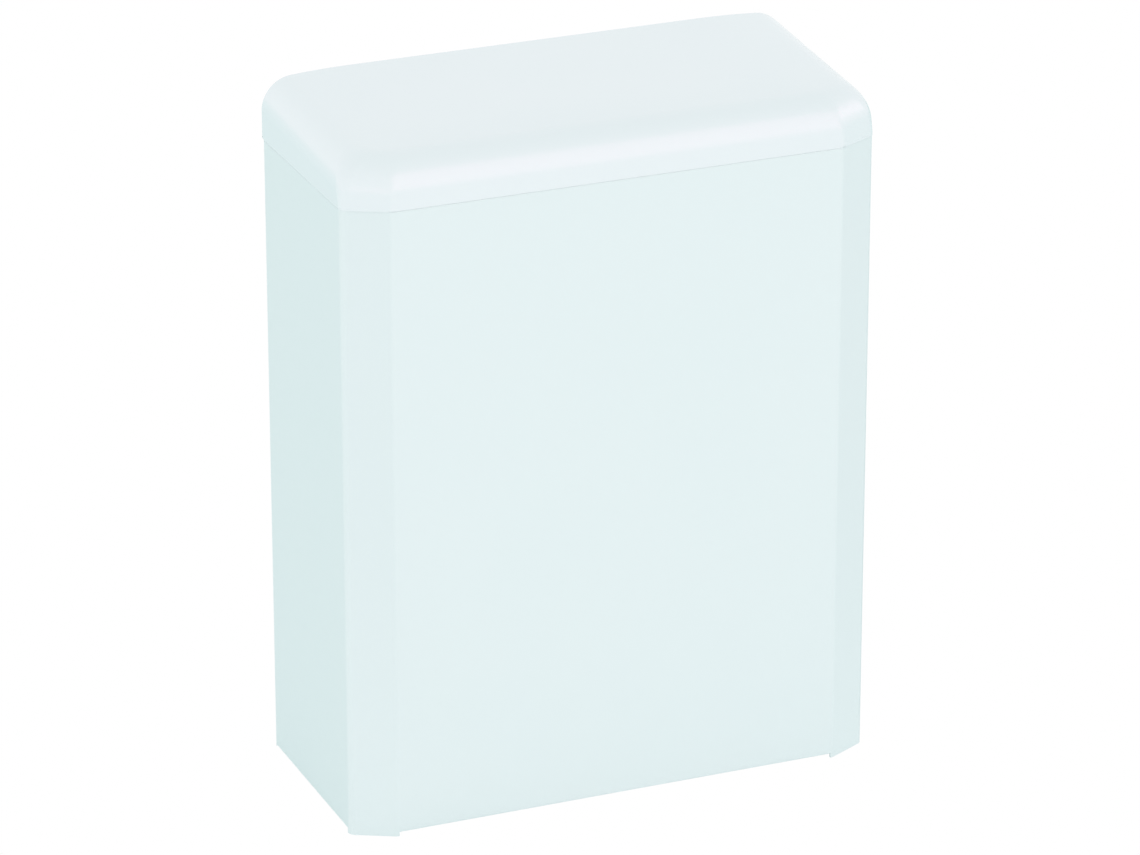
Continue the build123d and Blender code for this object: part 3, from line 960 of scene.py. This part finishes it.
for node, slot, body, edge_round in (
    ("front_shell", "white_enamel", "body", sheet_round),
    ("back_plate", "white_enamel", "body", sheet_round),
    ("base_plate", "white_enamel", "body", sheet_round),
    ("bag_ring", "zinc_steel", "body", bracket_round),
    ("left_hinge_bracket", "zinc_steel", "body", bracket_round),
    ("right_hinge_bracket", "zinc_steel", "body", bracket_round),
    ("left_hinge_bush", "nylon", "body", bush_round),
    ("right_hinge_bush", "nylon", "body", bush_round),
    ("left_rod_clip", "zinc_steel", "lid", clip_round),
    ("right_rod_clip", "zinc_steel", "lid", clip_round),
    ("hinge_rod", "zinc_steel", "lid", rod_round),
    ("rim_buffers", "buffer_rubber", "body", buffer_round),
):
    soften(node, slot, body, edge_round)


# Floor, light and camera

floor_reach = 12.0
near_floor = 0.12
far_floor = 0.35

# Tones of the surroundings that the bin's gloss mirrors: everywhere, and towards some
# directions from a cosine on, there either over the whole floor or only far away
surroundings_tone = (0.32, 0.57, 0.55, 1)
full_tone_cosine = 0.98
mirrored_tones = (
    ((0.383, 0.924, 0), 0.86, WHITE, False),
    ((0.150, -0.989, 0), 0.20, (0.78, 0.86, 0.84, 1), False),
    ((-0.522, -0.853, 0), 0.88, (0.03, 0.22, 0.25, 1), True),
    ((0.973, -0.233, 0), 0.84, (0.12, 0.32, 0.32, 1), True),
)

# Soft windows: place, width, height and power
windows = {
    "window": ((0.45, -1.25, 0.75), 1.3, 1.3, 7.2),
    "low left window": ((-0.67, -1.11, 0.30), 0.8, 0.35, 0.6),
    "right window": ((1.24, -0.40, 0.85), 0.7, 0.6, 2.5),
}

# Camera at the photograph's angle, as fitted to the straight edges of the body
camera_lens = 189.31
camera_sensor = 36.0
camera_place = (-0.89055, -2.15196, 1.11442)
camera_dip = 22.518
camera_turn = -22.470
camera_near = 0.05
camera_far = 60.0


def add_surroundings(tree):
    """Emission of the tones that the bin's gloss mirrors, by the direction on the floor."""
    place = add_node(tree, "ShaderNodeTexCoord").outputs["Object"]
    away = add_node(tree, "ShaderNodeVectorMath", {0: place}, operation="NORMALIZE").outputs["Vector"]
    distance = add_node(tree, "ShaderNodeVectorMath", {0: place}, operation="LENGTH").outputs["Value"]
    far = add_share(tree, distance, begins=near_floor, ends=far_floor)
    tone = surroundings_tone
    for towards, begins, mirrored_tone, only_far in mirrored_tones:
        facing = add_node(tree, "ShaderNodeVectorMath", {0: away, 1: towards}, operation="DOT_PRODUCT")
        share = add_share(
            tree, facing.outputs["Value"], begins, full_tone_cosine,
            most=far if only_far else 1.0, interpolation="SMOOTHSTEP",
        )
        tone = add_mix(tree, share, tone, mirrored_tone)
    return add_node(tree, "ShaderNodeEmission", {"Color": tone, "Strength": 1.0})


def make_floor():
    """Floor that is plain white to the camera, pale to soft light and toned in the bin's gloss."""
    mesh = bpy.data.meshes.new("floor")
    corners = [(x * floor_reach, y * floor_reach, 0) for x, y in ((-1, -1), (1, -1), (1, 1), (-1, 1))]
    mesh.from_pydata(corners, [], [(0, 1, 2, 3)])
    material, tree, shader = new_finish("pale floor", {
        "Base Color": (0.93, 0.93, 0.93, 1),
        "Emission Color": WHITE,
        "Emission Strength": 0.16,
        "Roughness": 0.9,
        "Specular IOR Level": 0.1,
    })
    paths = add_node(tree, "ShaderNodeLightPath").outputs
    white = add_node(tree, "ShaderNodeEmission", {"Color": WHITE, "Strength": 1.0})
    seen = add_node(tree, "ShaderNodeMixShader", {"Fac": paths["Is Camera Ray"], 1: shader, 2: white})
    mirrored = add_node(
        tree, "ShaderNodeMixShader", {"Fac": paths["Is Glossy Ray"], 1: seen, 2: add_surroundings(tree)}
    )
    feed(tree, tree.nodes["Material Output"].inputs["Surface"], mirrored)
    mesh.materials.append(material)
    add_object("floor", mesh)


def make_world():
    """Even white studio light, whose reflections are darker straight above."""
    overhead_power = 3
    world = bpy.data.worlds.new("studio")
    bpy.context.scene.world = world
    world.use_nodes = True
    tree = world.node_tree
    direction = add_node(tree, "ShaderNodeTexCoord").outputs["Generated"]
    up = split(tree, direction)[2].within(0, 1)
    mirrored = Field(tree, add_node(tree, "ShaderNodeLightPath").outputs["Is Glossy Ray"])
    strength = up.math("POWER", overhead_power) * mirrored * -1 + 1.0
    background = tree.nodes["Background"]
    background.inputs["Color"].default_value = WHITE
    feed(tree, background.inputs["Strength"], strength)


def add_window(name, place, width, height, power):
    """Area light that faces the middle of the bin and is only seen mirrored in its gloss."""
    light = bpy.data.lights.new(name, "AREA")
    light.shape = "RECTANGLE"
    light.size = width
    light.size_y = height
    light.energy = power
    lamp = add_object(name, light)
    lamp.location = place
    aim = Vector((0, 0, body_height / 2)) - Vector(place)
    lamp.rotation_euler = aim.to_track_quat("-Z", "Y").to_euler()
    lamp.visible_camera = False
    lamp.visible_diffuse = False


def add_camera():
    """Camera that sees the bin as the photograph does."""
    camera = bpy.data.cameras.new("camera")
    camera.lens = camera_lens
    camera.sensor_width = camera_sensor
    camera.clip_start = camera_near
    camera.clip_end = camera_far
    viewer = add_object("camera", camera)
    viewer.location = camera_place
    viewer.rotation_euler = (radians(90 - camera_dip), 0, radians(camera_turn))
    bpy.context.scene.camera = viewer


make_floor()
make_world()
for name, (place, width, height, power) in windows.items():
    add_window(name, place, width, height, power)
add_camera()
bpy.context.scene.view_settings.view_transform = "Standard"
